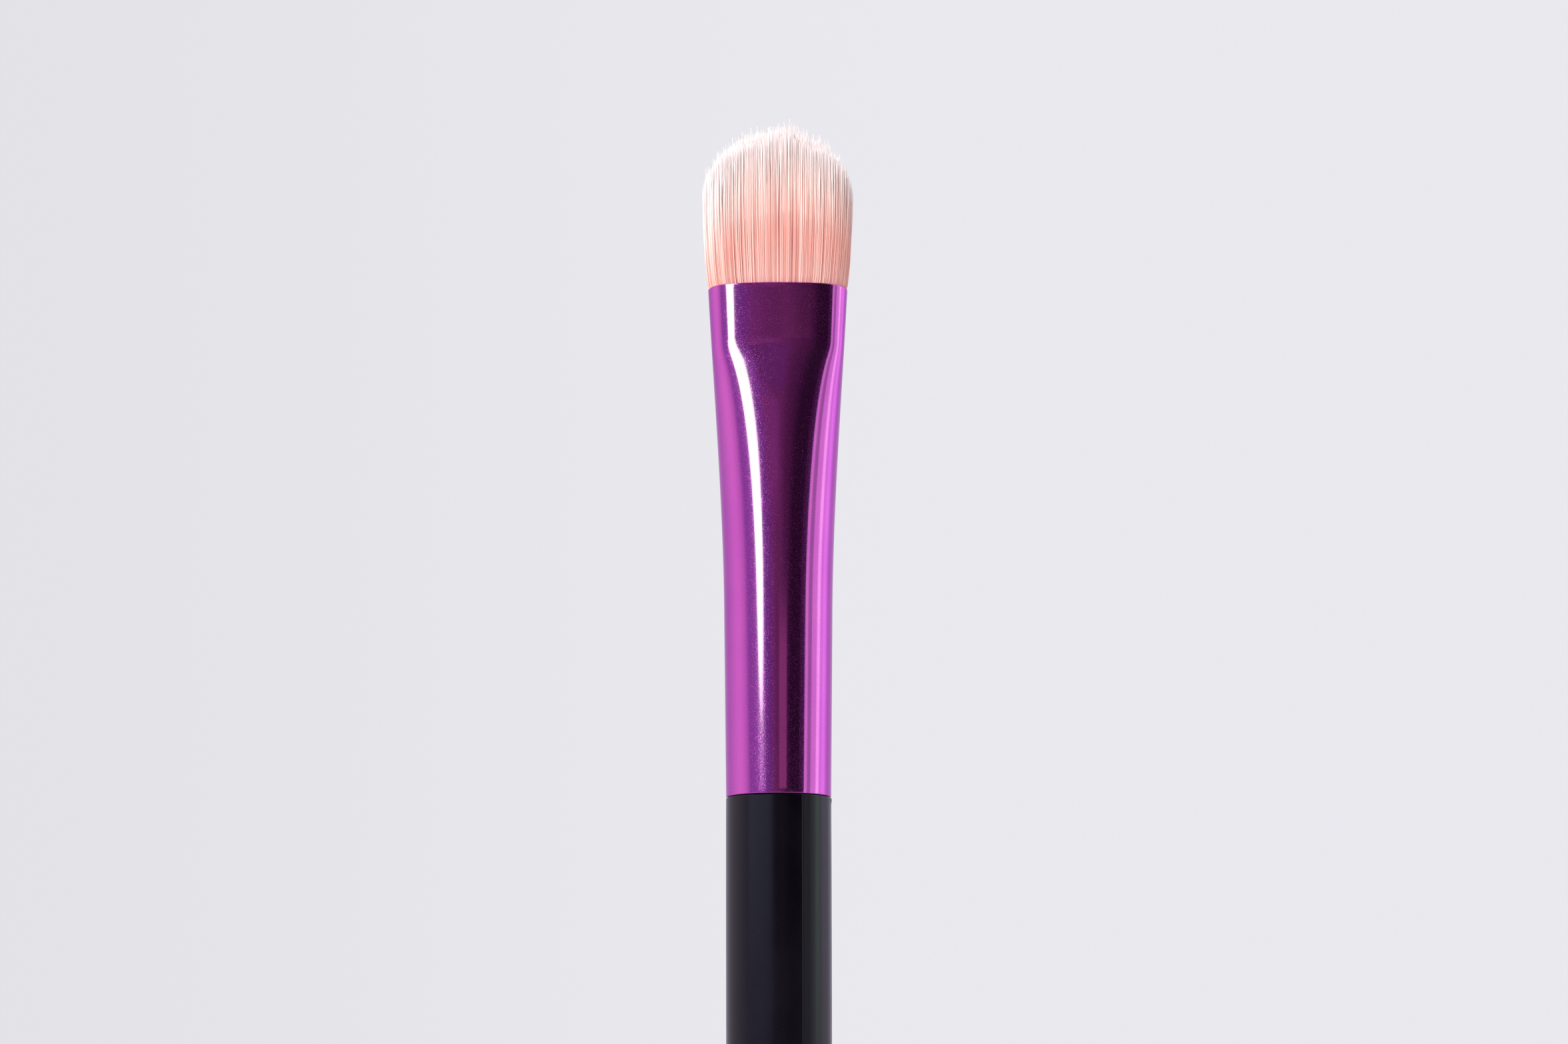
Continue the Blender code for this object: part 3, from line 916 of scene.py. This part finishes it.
@dataclass
class Tuft:
    """The filaments, some 9,600 tapered fibres that swell out of the mouth into a round-topped dome."""

    ferrule: Ferrule
    length: float = 13.65 * MM
    side_length: float = 7.7 * MM
    half_width: float = 5.86 * MM
    half_thickness: float = 2.75 * MM
    tip_half_thickness: float = 1.45 * MM
    swell_height: float = 6.6 * MM
    thinning_share: float = 0.6
    splay_height: float = 0.24 * MM
    splay_share: float = 0.72
    face_drop: float = 1.1 * MM
    root_depth: float = 1.6 * MM
    first_ring: float = 0.40 * MM
    ring_power: float = 0.9
    wall_clearance: float = 0.05 * MM
    pitch: float = 0.065 * MM
    radius: float = 0.034 * MM
    tip_radius: float = 0.011 * MM
    tip_start: float = 0.62
    stray: float = 0.20 * MM
    stray_reach: float = 5.5
    stray_sunk: float = 4.0
    crest_place: float = 0.60 * MM
    crest_width: float = 0.90 * MM
    crest_rise: float = 0.45 * MM
    lean: float = 0.06 * MM
    lean_limit: float = 4.0
    lock_size: float = 0.27 * MM
    lock_pull: float = 0.05
    # Painted backlight: how far V moves towards the white tip for the outermost filaments on the lamp's
    # side, and where across the tuft that starts
    painted_backlight: float = 0.25
    painted_backlight_start: float = 0.45
    rings: int = 7
    sides: int = 3
    seed: int = 11
    chance: np.random.Generator = field(init=False)

    def __post_init__(self) -> None:
        """Seeds the draws, so that every run gives the same tuft."""
        self.chance = np.random.default_rng(self.seed)

    def mouth(self) -> float:
        """The height of the ferrule's rim."""
        return self.ferrule.top

    def bundle(self) -> tuple[np.ndarray, np.ndarray]:
        """The room for the filaments' axes in the mouth.

        Returns:
            The X and the Y of its outline in one quarter, X rising.
        """
        inset = np.array([self.ferrule.wall + self.wall_clearance + self.radius])
        ring = self.ferrule.rings(np.array([self.mouth() - self.root_depth]), inset)[0]
        quarter = ring[: self.ferrule.quarter_steps + 1][::-1]
        return quarter[:, 0], quarter[:, 1]

    def places(self) -> np.ndarray:
        """Root places: a hexagonal grid, each moved at random by up to a third of its pitch.

        Returns:
            Rows of X and Y in the mouth.
        """
        outline_x, outline_y = self.bundle()
        row_step = self.pitch * math.sin(math.radians(60))
        last_row, last_column = int(outline_y[0] / row_step) + 1, int(outline_x[-1] / self.pitch) + 1
        rows = np.arange(-last_row, last_row + 1)
        columns = np.arange(-last_column, last_column + 1)
        x = columns[None, :] * self.pitch + self.pitch / 2 * (rows[:, None] % 2)
        y = np.broadcast_to(rows[:, None] * row_step, x.shape)
        spots = np.stack((x.reshape(-1), y.reshape(-1)), axis=1)
        spots = spots + self.chance.uniform(-self.pitch / 3, self.pitch / 3, spots.shape)
        inside = np.abs(spots[:, 1]) < np.interp(np.abs(spots[:, 0]), outline_x, outline_y, right=-1.0)
        return spots[inside]

    def swell(self, height: np.ndarray) -> tuple[np.ndarray, np.ndarray]:
        """How far the bundle has spread at a height above the mouth.

        Both ways start at 1. A share of the growth comes as a quick exponential splay at the mouth, and
        the rest on an S curve. Across Y the tuft then narrows towards its tip.

        Args:
            height: Heights above the mouth.

        Returns:
            The factors across X and across Y.
        """
        outline_x, outline_y = self.bundle()
        above = np.maximum(height, 0.0)
        splay = 1 - np.exp(-above / self.splay_height)
        grown = self.splay_share * splay + (1 - self.splay_share) * smoothstep(above / self.swell_height)
        wide = mix(1.0, self.half_width / outline_x[-1], grown)
        thick = mix(1.0, self.half_thickness / outline_y[0], grown)
        thinning = self.swell_height * self.thinning_share
        tip_share = smoothstep((above - thinning) / (self.length - thinning))
        return wide, mix(thick, self.tip_half_thickness / outline_y[0], tip_share)

    def lengths(self, places: np.ndarray) -> np.ndarray:
        """How long the filaments are above the mouth.

        The dome is an ellipse over X with a low crest on it, one over the exponential of the squared
        distance from its place over its width, and lower towards the faces. The ends lie sunk below it
        and stray up from there by an exponential draw, so that they thin out above the dome.

        Args:
            places: The root places.

        Returns:
            Each filament's free length.
        """
        outline_x, outline_y = self.bundle()
        side = np.minimum(np.abs(places[:, 0]) / outline_x[-1], 1.0)
        face = np.minimum(np.abs(places[:, 1]) / outline_y[0], 1.0)
        crest = self.crest_rise * np.exp(-(((places[:, 0] - self.crest_place) / self.crest_width) ** 2))
        dome = mix(self.side_length, self.length - self.crest_rise, np.sqrt(1 - side**2)) + crest
        stray = np.minimum(self.chance.exponential(1.0, len(places)), self.stray_reach)
        return dome - self.face_drop * face**2 + (stray - self.stray_sunk) * self.stray

    def paths(self, places: np.ndarray, length: np.ndarray) -> np.ndarray:
        """The filaments' axes, with one ring at the root and the others above the mouth.

        A point is its root's place times the swell at its height, drawn towards the middle of its lock
        and leant at random, both by the square of how far up the filament it is.

        Args:
            places: The root places.
            length: The free lengths.

        Returns:
            Rows of ring centres from root to tip.
        """
        share = np.linspace(0.0, 1.0, self.rings - 1) ** self.ring_power
        free = self.first_ring + (length[:, None] - self.first_ring) * share
        height = np.hstack((np.full((len(length), 1), -self.root_depth), free))
        wide, thick = self.swell(height)
        climb = np.maximum(height, 0.0) / length[:, None]
        lock = (np.floor(places / self.lock_size) + 0.5) * self.lock_size
        drawn = (lock - places) * self.lock_pull
        limit = self.lean_limit * self.lean
        lean = np.clip(self.chance.laplace(0.0, self.lean, places.shape), -limit, limit)
        moved = places[:, None, :] + (drawn + lean)[:, None, :] * climb[:, :, None] ** 2
        return np.stack((moved[:, :, 0] * wide, moved[:, :, 1] * thick, self.mouth() + height), axis=2)

    def tubes(self, axes: np.ndarray) -> np.ndarray:
        """Thin tubes round the axes, of full radius for most of their length and drawn to a fine tip.

        Args:
            axes: Rows of ring centres.

        Returns:
            The tubes' points, by filament, ring and side.
        """
        share = np.linspace(0.0, 1.0, self.rings)
        tapered = smoothstep((share - self.tip_start) / (1 - self.tip_start))
        radius = mix(self.radius, self.tip_radius, tapered)
        sides = np.arange(self.sides) * FULL_TURN / self.sides
        turn = self.chance.uniform(0.0, FULL_TURN, len(axes))[:, None] + sides
        spoke = np.stack((np.cos(turn), np.sin(turn), np.zeros_like(turn)), axis=2)
        return axes[:, :, None, :] + spoke[:, None, :, :] * radius[None, :, None, None]

    def faces(self, count: int) -> list[np.ndarray]:
        """The tubes' sides as quads, and a triangle over each root and each tip.

        Args:
            count: How many tubes there are.

        Returns:
            Point numbers of the quads, and of the triangles.
        """
        ring = np.arange(self.rings - 1)[:, None] * self.sides
        side = np.arange(self.sides)[None, :]
        after = (side + 1) % self.sides
        corners = (ring + side, ring + after, ring + after + self.sides, ring + side + self.sides)
        quads = np.stack([corner.reshape(-1) for corner in corners], axis=1)
        each = np.arange(count)[:, None, None] * self.rings * self.sides
        last = (self.rings - 1) * self.sides
        caps = np.array([[2, 1, 0], [last, last + 1, last + 2]])
        return [(each + quads[None]).reshape(-1, 4), (each + caps[None]).reshape(-1, 3)]

    def colour_map(self, piece: bpy.types.Object, places: np.ndarray) -> None:
        """Writes the UV map: U is the filament's shade, V how far along it each corner lies.

        V is moved towards the white tip for the outermost filaments on the lamp's side. This is a
        painted backlight:
        their paler colour stands in for the light that comes through them.

        Args:
            piece: The filaments.
            places: Their root places.
        """
        count = len(places)
        shade = np.repeat(self.chance.random(count), self.rings * self.sides)
        along = np.tile(np.repeat(np.linspace(0.0, 1.0, self.rings), self.sides), count)
        outward = -places[:, 0] / np.abs(places[:, 0]).max()
        # Painted backlight: filaments on the lamp's side are paled as if lit through
        painted_backlit = self.painted_backlight * smoothstep((outward - self.painted_backlight_start) / (1 - self.painted_backlight_start))
        along = np.minimum(along + np.repeat(painted_backlit, self.rings * self.sides), 1.0)
        corner = np.empty(len(piece.data.loops), dtype=np.int32)
        piece.data.loops.foreach_get("vertex_index", corner)
        layer = piece.data.uv_layers.new(name=STRAND_MAP)
        layer.data.foreach_set("uv", np.stack((shade[corner], along[corner]), axis=1).reshape(-1))

    def make(self) -> None:
        """Builds the filaments, half of them in each piece, and dresses them."""
        finish = FilamentFinish().build()
        places = self.places()
        axes = self.paths(places, self.lengths(places))
        for half in Half:
            inside = places[:, 1] * half.value > 0
            tubes = self.tubes(axes[inside])
            name = f"filaments_{half.name.lower()}"
            piece = make_piece(name, tubes, self.faces(len(tubes)), smooth=False)
            self.colour_map(piece, places[inside])
            dress(piece, finish, Slot.FIBRE, Node.TUFT)
            LOG.info("%s: %d filaments", piece.name, len(tubes))


@dataclass(frozen=True)
class Surround:
    """A stretch of the studio as the metal mirrors it, between two azimuths.

    Between two stretches the light runs evenly from one to the next, and the first and the last reach
    round to the back.
    """

    start: float
    end: float
    light: Colour


@dataclass(frozen=True)
class Patch(Surround):
    """A thing that stands before the surrounds, with soft edges.

    The foot and the head are the ranges of the direction's Z in which it comes in and goes.
    """

    edge: float
    foot: Range
    head: Range


@dataclass(frozen=True)
class LampRing:
    """A ring on the softbox's front: its width and height, and the light that it gives."""

    width: float
    height: float
    light: Colour


@dataclass(frozen=True)
class Fill:
    """A plain lamp for one piece alone: its width and height, its elevation, and the light it gives."""

    lit: str
    size: Range
    elevation: float
    light: Colour


def grey(level: float) -> Colour:
    """A neutral light of one level."""
    return (level, level, level)


@dataclass
class Studio:
    """The pale room, the tall softbox to the left, two weaker lamps by it, the floor and the camera."""

    seam: float
    focal_pixels: float = 4600.0
    camera_distance: float = 232.86 * MM
    camera_below_seam: float = 21.45 * MM
    camera_right: float = 0.45 * MM
    camera_pitch: float = 10.4
    camera_roll: float = -0.12
    clip_start: float = 0.01
    sensor: float = 36.0
    lamp_azimuth: float = -41.0
    lamp_elevation: float = 36.0
    lamp_lean: float = 9.0
    lamp_distance: float = 0.90
    lamp_rings: tuple[LampRing, ...] = (
        LampRing(0.40, 1.26, (0.0, 0.0, 0.0)),
        LampRing(0.32, 1.21, (1.5, 7.5, 1.6)),
        LampRing(0.26, 1.18, (12.4, 11.0, 12.4)),
    )
    lamp_blunting: float = 12.0
    lamp_steps: int = 96
    fill_distance: float = 0.78
    fills: tuple[Fill, ...] = (
        Fill("handle_moulding", (0.84, 0.44), 17.5, (0.88, 1.16, 1.16)),
        Fill("floor", (0.10, 0.26), 40.0, (56.0, 55.0, 56.0)),
    )
    room_left: Colour = (1.14, 1.09, 1.11)
    room_right: Colour = (0.14, 0.14, 0.15)
    room_top: Colour = (1.16, 1.12, 1.14)
    ceiling: Colour = (0.62, 0.60, 0.66)
    ceiling_rise: Range = (0.95, 0.99)
    left_backdrop: Colour = (0.775, 0.765, 0.80)
    right_backdrop: Colour = (0.82, 0.81, 0.855)
    backdrop_span: Range = (-0.25, 0.05)
    floor_colour: Colour = (0.66, 0.66, 0.69)
    floor_roughness: float = 0.8
    floor_reach: float = 4.0
    widening: float = 0.184
    level_rise: float = 0.50
    surrounds: tuple[Surround, ...] = (
        Surround(-138.0, -138.0, (0.67, 0.63, 0.75)),
        Surround(-104.0, -92.0, (1.00, 0.90, 0.95)),
        Surround(-78.5, -78.5, (0.77, 0.68, 0.76)),
        Surround(-68.0, -48.0, (0.37, 0.30, 0.50)),
        Surround(-40.5, -38.0, (0.42, 0.35, 0.56)),
        Surround(-26.0, -20.0, (0.19, 0.130, 0.29)),
        Surround(-11.5, -11.5, (0.200, 0.120, 0.185)),
        Surround(-2.0, 4.0, (0.155, 0.085, 0.125)),
        Surround(13.0, 16.0, (0.086, 0.040, 0.074)),
        Surround(27.0, 47.0, (0.026, 0.014, 0.026)),
        Surround(50.5, 60.2, (0.070, 0.040, 0.080)),
        Surround(61.8, 67.0, (1.00, 1.15, 1.02)),
        Surround(70.0, 78.0, (0.52, 0.56, 0.54)),
        Surround(80.0, 93.0, (1.02, 1.14, 1.06)),
        Surround(96.5, 103.5, (1.65, 2.50, 1.65)),
        Surround(106.5, 113.0, (1.08, 1.15, 1.14)),
        Surround(116.0, 123.0, (1.32, 1.28, 1.52)),
        Surround(138.0, 138.0, (0.70, 0.65, 0.80)),
    )
    patches: tuple[Patch, ...] = (
        Patch(3.0, 17.0, (0.34, 0.24, 0.24), 3.0, (0.075, 0.090), (0.132, 0.168)),
        Patch(18.0, 57.0, (0.030, 0.028, 0.042), 3.0, (-0.60, -0.40), (0.070, 0.090)),
        Patch(-14.0, -4.0, (0.235, 0.145, 0.210), 10.0, (0.18, 0.24), (0.42, 0.54)),
        Patch(-14.0, 2.0, (0.150, 0.088, 0.175), 8.0, (0.50, 0.62), (0.94, 0.98)),
    )

    def stops(self) -> Stops:
        """The surrounds on a ramp over azimuth, one stop for each end of a stretch.

        Returns:
            The stops' places and colours.
        """
        ends = [(end, part.light) for part in self.surrounds for end in sorted({part.start, part.end})]
        return tuple((ramp_place(end), light) for end, light in ends)

    def mirrored(self, wiring: Wiring, axes: bpy.types.NodeOutputs) -> Socket:
        """What polished metal mirrors, by direction.

        The azimuth is the arc tangent of X over minus Y. The surrounds stand upright, and those higher
        up lie further to the sides: the azimuth is read as itself times one plus the widening at the
        level rise over one plus the widening at the direction's own Z.

        Args:
            wiring: The world's tree.
            axes: The direction's X, Y and Z.

        Returns:
            The colour of the surrounds, with the patches before them and the ceiling above.
        """
        azimuth = wiring.math("ARCTAN2", axes["X"], wiring.math("MULTIPLY", axes["Y"], -1.0))
        widened = wiring.math("ADD", wiring.math("MULTIPLY", axes["Z"], self.widening), 1.0)
        level = math.degrees(1.0) * (1 + self.widening * self.level_rise)
        read = wiring.math("DIVIDE", wiring.math("MULTIPLY", azimuth, level), widened)
        turned = wiring.math("ADD", wiring.math("DIVIDE", read, 360.0), ramp_place(0.0))
        colour = wiring.ramp(turned, self.stops())
        for patch in self.patches:
            left = wiring.spread(read, (patch.start - patch.edge, patch.start))
            right = wiring.spread(read, (patch.end, patch.end + patch.edge), (1.0, 0.0))
            foot = wiring.spread(axes["Z"], patch.foot)
            head = wiring.spread(axes["Z"], patch.head, (1.0, 0.0))
            across = wiring.math("MULTIPLY", left, right)
            upright = wiring.math("MULTIPLY", foot, head)
            colour = wiring.blend(wiring.math("MULTIPLY", across, upright), colour, patch.light)
        return wiring.blend(wiring.spread(axes["Z"], self.ceiling_rise), colour, self.ceiling)

    def make_world(self) -> None:
        """The room: a soft light for matt surfaces, the surrounds for gloss, and a plain backdrop.

        The soft light falls off on an S curve from left to right, and turns to that of the top as the
        direction's Z goes from level to upright.
        """
        world = bpy.data.worlds.new("studio")
        bpy.context.scene.world = world
        world.use_nodes = True
        wiring = Wiring(world.node_tree)
        axes = wiring.split(wiring.add("ShaderNodeTexCoord").outputs["Generated"])
        across = wiring.spread(axes["X"], self.backdrop_span)
        backdrop = wiring.blend(across, self.left_backdrop, self.right_backdrop)
        path = wiring.add("ShaderNodeLightPath").outputs
        sides = wiring.blend(wiring.spread(axes["X"], (-1.0, 1.0)), self.room_left, self.room_right)
        room = wiring.blend(wiring.spread(axes["Z"], (0.0, 1.0)), sides, self.room_top)
        lit = wiring.blend(path["Is Glossy Ray"], room, self.mirrored(wiring, axes))
        seen = wiring.math("MAXIMUM", path["Is Camera Ray"], path["Is Transmission Ray"])
        shown = wiring.blend(seen, lit, backdrop)
        wiring.join(shown, world.node_tree.nodes["Background"].inputs["Color"])

    def station(self, reach: float, elevation: float) -> tuple[Triple, Euler]:
        """Finds where a lamp stands at the lamp azimuth, and how it turns to face the seam.

        Args:
            reach: How far across the floor it stands.
            elevation: Its elevation in degrees, as seen from the seam.

        Returns:
            Its place and its turn.
        """
        azimuth, rise = math.radians(self.lamp_azimuth), math.radians(elevation)
        height = self.seam + reach * math.tan(rise)
        place = (reach * math.sin(azimuth), -reach * math.cos(azimuth), height)
        return place, Euler((QUARTER_TURN - rise, 0.0, azimuth))

    def lamp_outline(self, ring: LampRing) -> np.ndarray:
        """The points of a ring on the softbox's front, tall with blunt ends, flat in its X and Y.

        X is half the width times the cosine of a turn, and Y half the height times its sine with the
        size of that sine raised to two over the blunting. X then moves against Y by the tangent of the
        lean, so that the ends stay level.

        Args:
            ring: The ring.

        Returns:
            The ring's points, one row each.
        """
        turn = np.linspace(0.0, FULL_TURN, self.lamp_steps, endpoint=False)
        y = ring.height / 2 * np.sign(np.sin(turn)) * np.abs(np.sin(turn)) ** (2 / self.lamp_blunting)
        x = ring.width / 2 * np.cos(turn) - y * math.tan(math.radians(self.lamp_lean))
        return np.stack((x, y, np.zeros(len(turn))), axis=1)

    def make_lamp(self) -> None:
        """The tall softbox, front left, whose mirror image is the ferrule's highlight.

        Its light is an attribute that runs from ring to ring, from nothing on the rim. Red and blue
        fall off before green, which the dye swallows, so that the highlight has a pale edge. Flags keep
        it off the satin handle and the floor, which the fills light.
        """
        centre, turn = self.station(self.lamp_distance, self.lamp_elevation)
        outlines = [self.lamp_outline(ring) for ring in self.lamp_rings]
        rows, columns = len(outlines), len(outlines[0])
        points = np.concatenate((*outlines, np.zeros((1, 3)))) @ np.array(turn.to_matrix()).T + centre
        core = (rows - 1) * columns
        cap = fan(core, columns, core + columns, upward=True)
        lamp = make_piece("softbox", points, [grid_quads(rows, columns, wrap_rows=False), cap])
        glow = lamp.data.attributes.new("glow", "FLOAT_VECTOR", "POINT")
        lights = [ring.light for ring in self.lamp_rings for _ in range(columns)]
        glow.data.foreach_set("vector", np.array([*lights, self.lamp_rings[-1].light]).reshape(-1))
        shading = Shading("softbox_glow")
        shading.uniform(Base_Color=grey(0.0), Specular_IOR_Level=0.0, Emission_Strength=1.0)
        light = shading.add("ShaderNodeAttribute", attribute_name="glow").outputs["Vector"]
        shading.give("Emission Color", light)
        lamp.data.materials.append(shading.material)
        self.hang(lamp, "EXCLUDE", *(fill.lit for fill in self.fills))
        LOG.info("softbox centred at %s", tuple(round(value, 3) for value in centre))

    def hang(self, lamp: bpy.types.Object, state: str, *names: str) -> None:
        """Takes a lamp out of the camera's sight and off the named pieces, or puts it on them alone.

        Args:
            lamp: The lamp.
            state: EXCLUDE for off the pieces, INCLUDE for on them alone.
            names: The pieces.
        """
        lamp.visible_camera = False
        linked = bpy.data.collections.new(f"{lamp.name}_link")
        for name in names:
            linked.objects.link(bpy.data.objects[name])
        lamp.light_linking.receiver_collection = linked
        for entry in linked.collection_objects:
            entry.light_linking.link_state = state

    def make_fill(self, fill: Fill) -> None:
        """A weaker lamp on the softbox's side, for the gleam down the handle or the shadow on the floor.

        Its power is the greatest part of its light times its area times pi.

        Args:
            fill: The lamp.
        """
        data = bpy.data.lights.new(f"fill_{fill.lit}", "AREA")
        data.shape = "RECTANGLE"
        data.size, data.size_y = fill.size
        level = max(fill.light)
        data.color = [part / level for part in fill.light]
        data.energy = level * data.size * data.size_y * math.pi
        lamp = put(data.name, data)
        lamp.location, lamp.rotation_euler = self.station(self.fill_distance, fill.elevation)
        self.hang(lamp, "INCLUDE", fill.lit)

    def make_floor(self) -> None:
        """A wide pale floor under the brush's tail, which the main view doesn't reach."""
        points = np.array([(-1, -1, 0), (1, -1, 0), (1, 1, 0), (-1, 1, 0)]) * self.floor_reach
        floor = make_piece("floor", points, [np.array([[0, 1, 2, 3]])], smooth=False)
        shading = Shading("pale_floor")
        shading.uniform(Base_Color=self.floor_colour, Roughness=self.floor_roughness)
        floor.data.materials.append(shading.material)

    def make_camera(self) -> None:
        """A long lens close to the brush, a little below the seam and pitched up."""
        data = bpy.data.cameras.new("camera")
        data.sensor_width = self.sensor
        data.lens = self.focal_pixels / IMAGE_WIDTH * self.sensor
        data.clip_start = self.clip_start
        camera = put("camera", data)
        camera.location = (self.camera_right, -self.camera_distance, self.seam - self.camera_below_seam)
        pitch = Matrix.Rotation(QUARTER_TURN + math.radians(self.camera_pitch), 3, "X")
        roll = Matrix.Rotation(math.radians(self.camera_roll), 3, "Z")
        camera.rotation_euler = (pitch @ roll).to_euler()
        bpy.context.scene.camera = camera

    def make(self) -> None:
        """Builds the room round the brush."""
        bpy.context.scene.view_settings.view_transform = "Standard"
        self.make_camera()
        self.make_world()
        self.make_floor()
        self.make_lamp()
        for fill in self.fills:
            self.make_fill(fill)


def dress_glue() -> None:
    """Gives the two hidden beds of adhesive their material."""
    resin = ResinFinish().build()
    for node in (Node.HANDLE_GLUE, Node.ROOT_PLUG):
        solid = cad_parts[node.value]
        solid.data.materials.clear()
        solid.data.materials.append(resin)
        LOG.info("%s: dressed as it is", node.value)


def main() -> None:
    """Builds the brush from the tail up, then the studio, and reports each piece."""
    logging.basicConfig(level=logging.INFO, format="%(message)s")
    low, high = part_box(Node.FERRULE.value)
    ferrule = Ferrule(bottom=low.z, top=high.z)
    Handle(shoulder=low.z - SEAM_GAP, tenon_top=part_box(Node.HANDLE.value)[1].z).make()
    ferrule.make()
    Tuft(ferrule).make()
    dress_glue()
    Studio(seam=low.z).make()


if __name__ == "__main__":
    main()
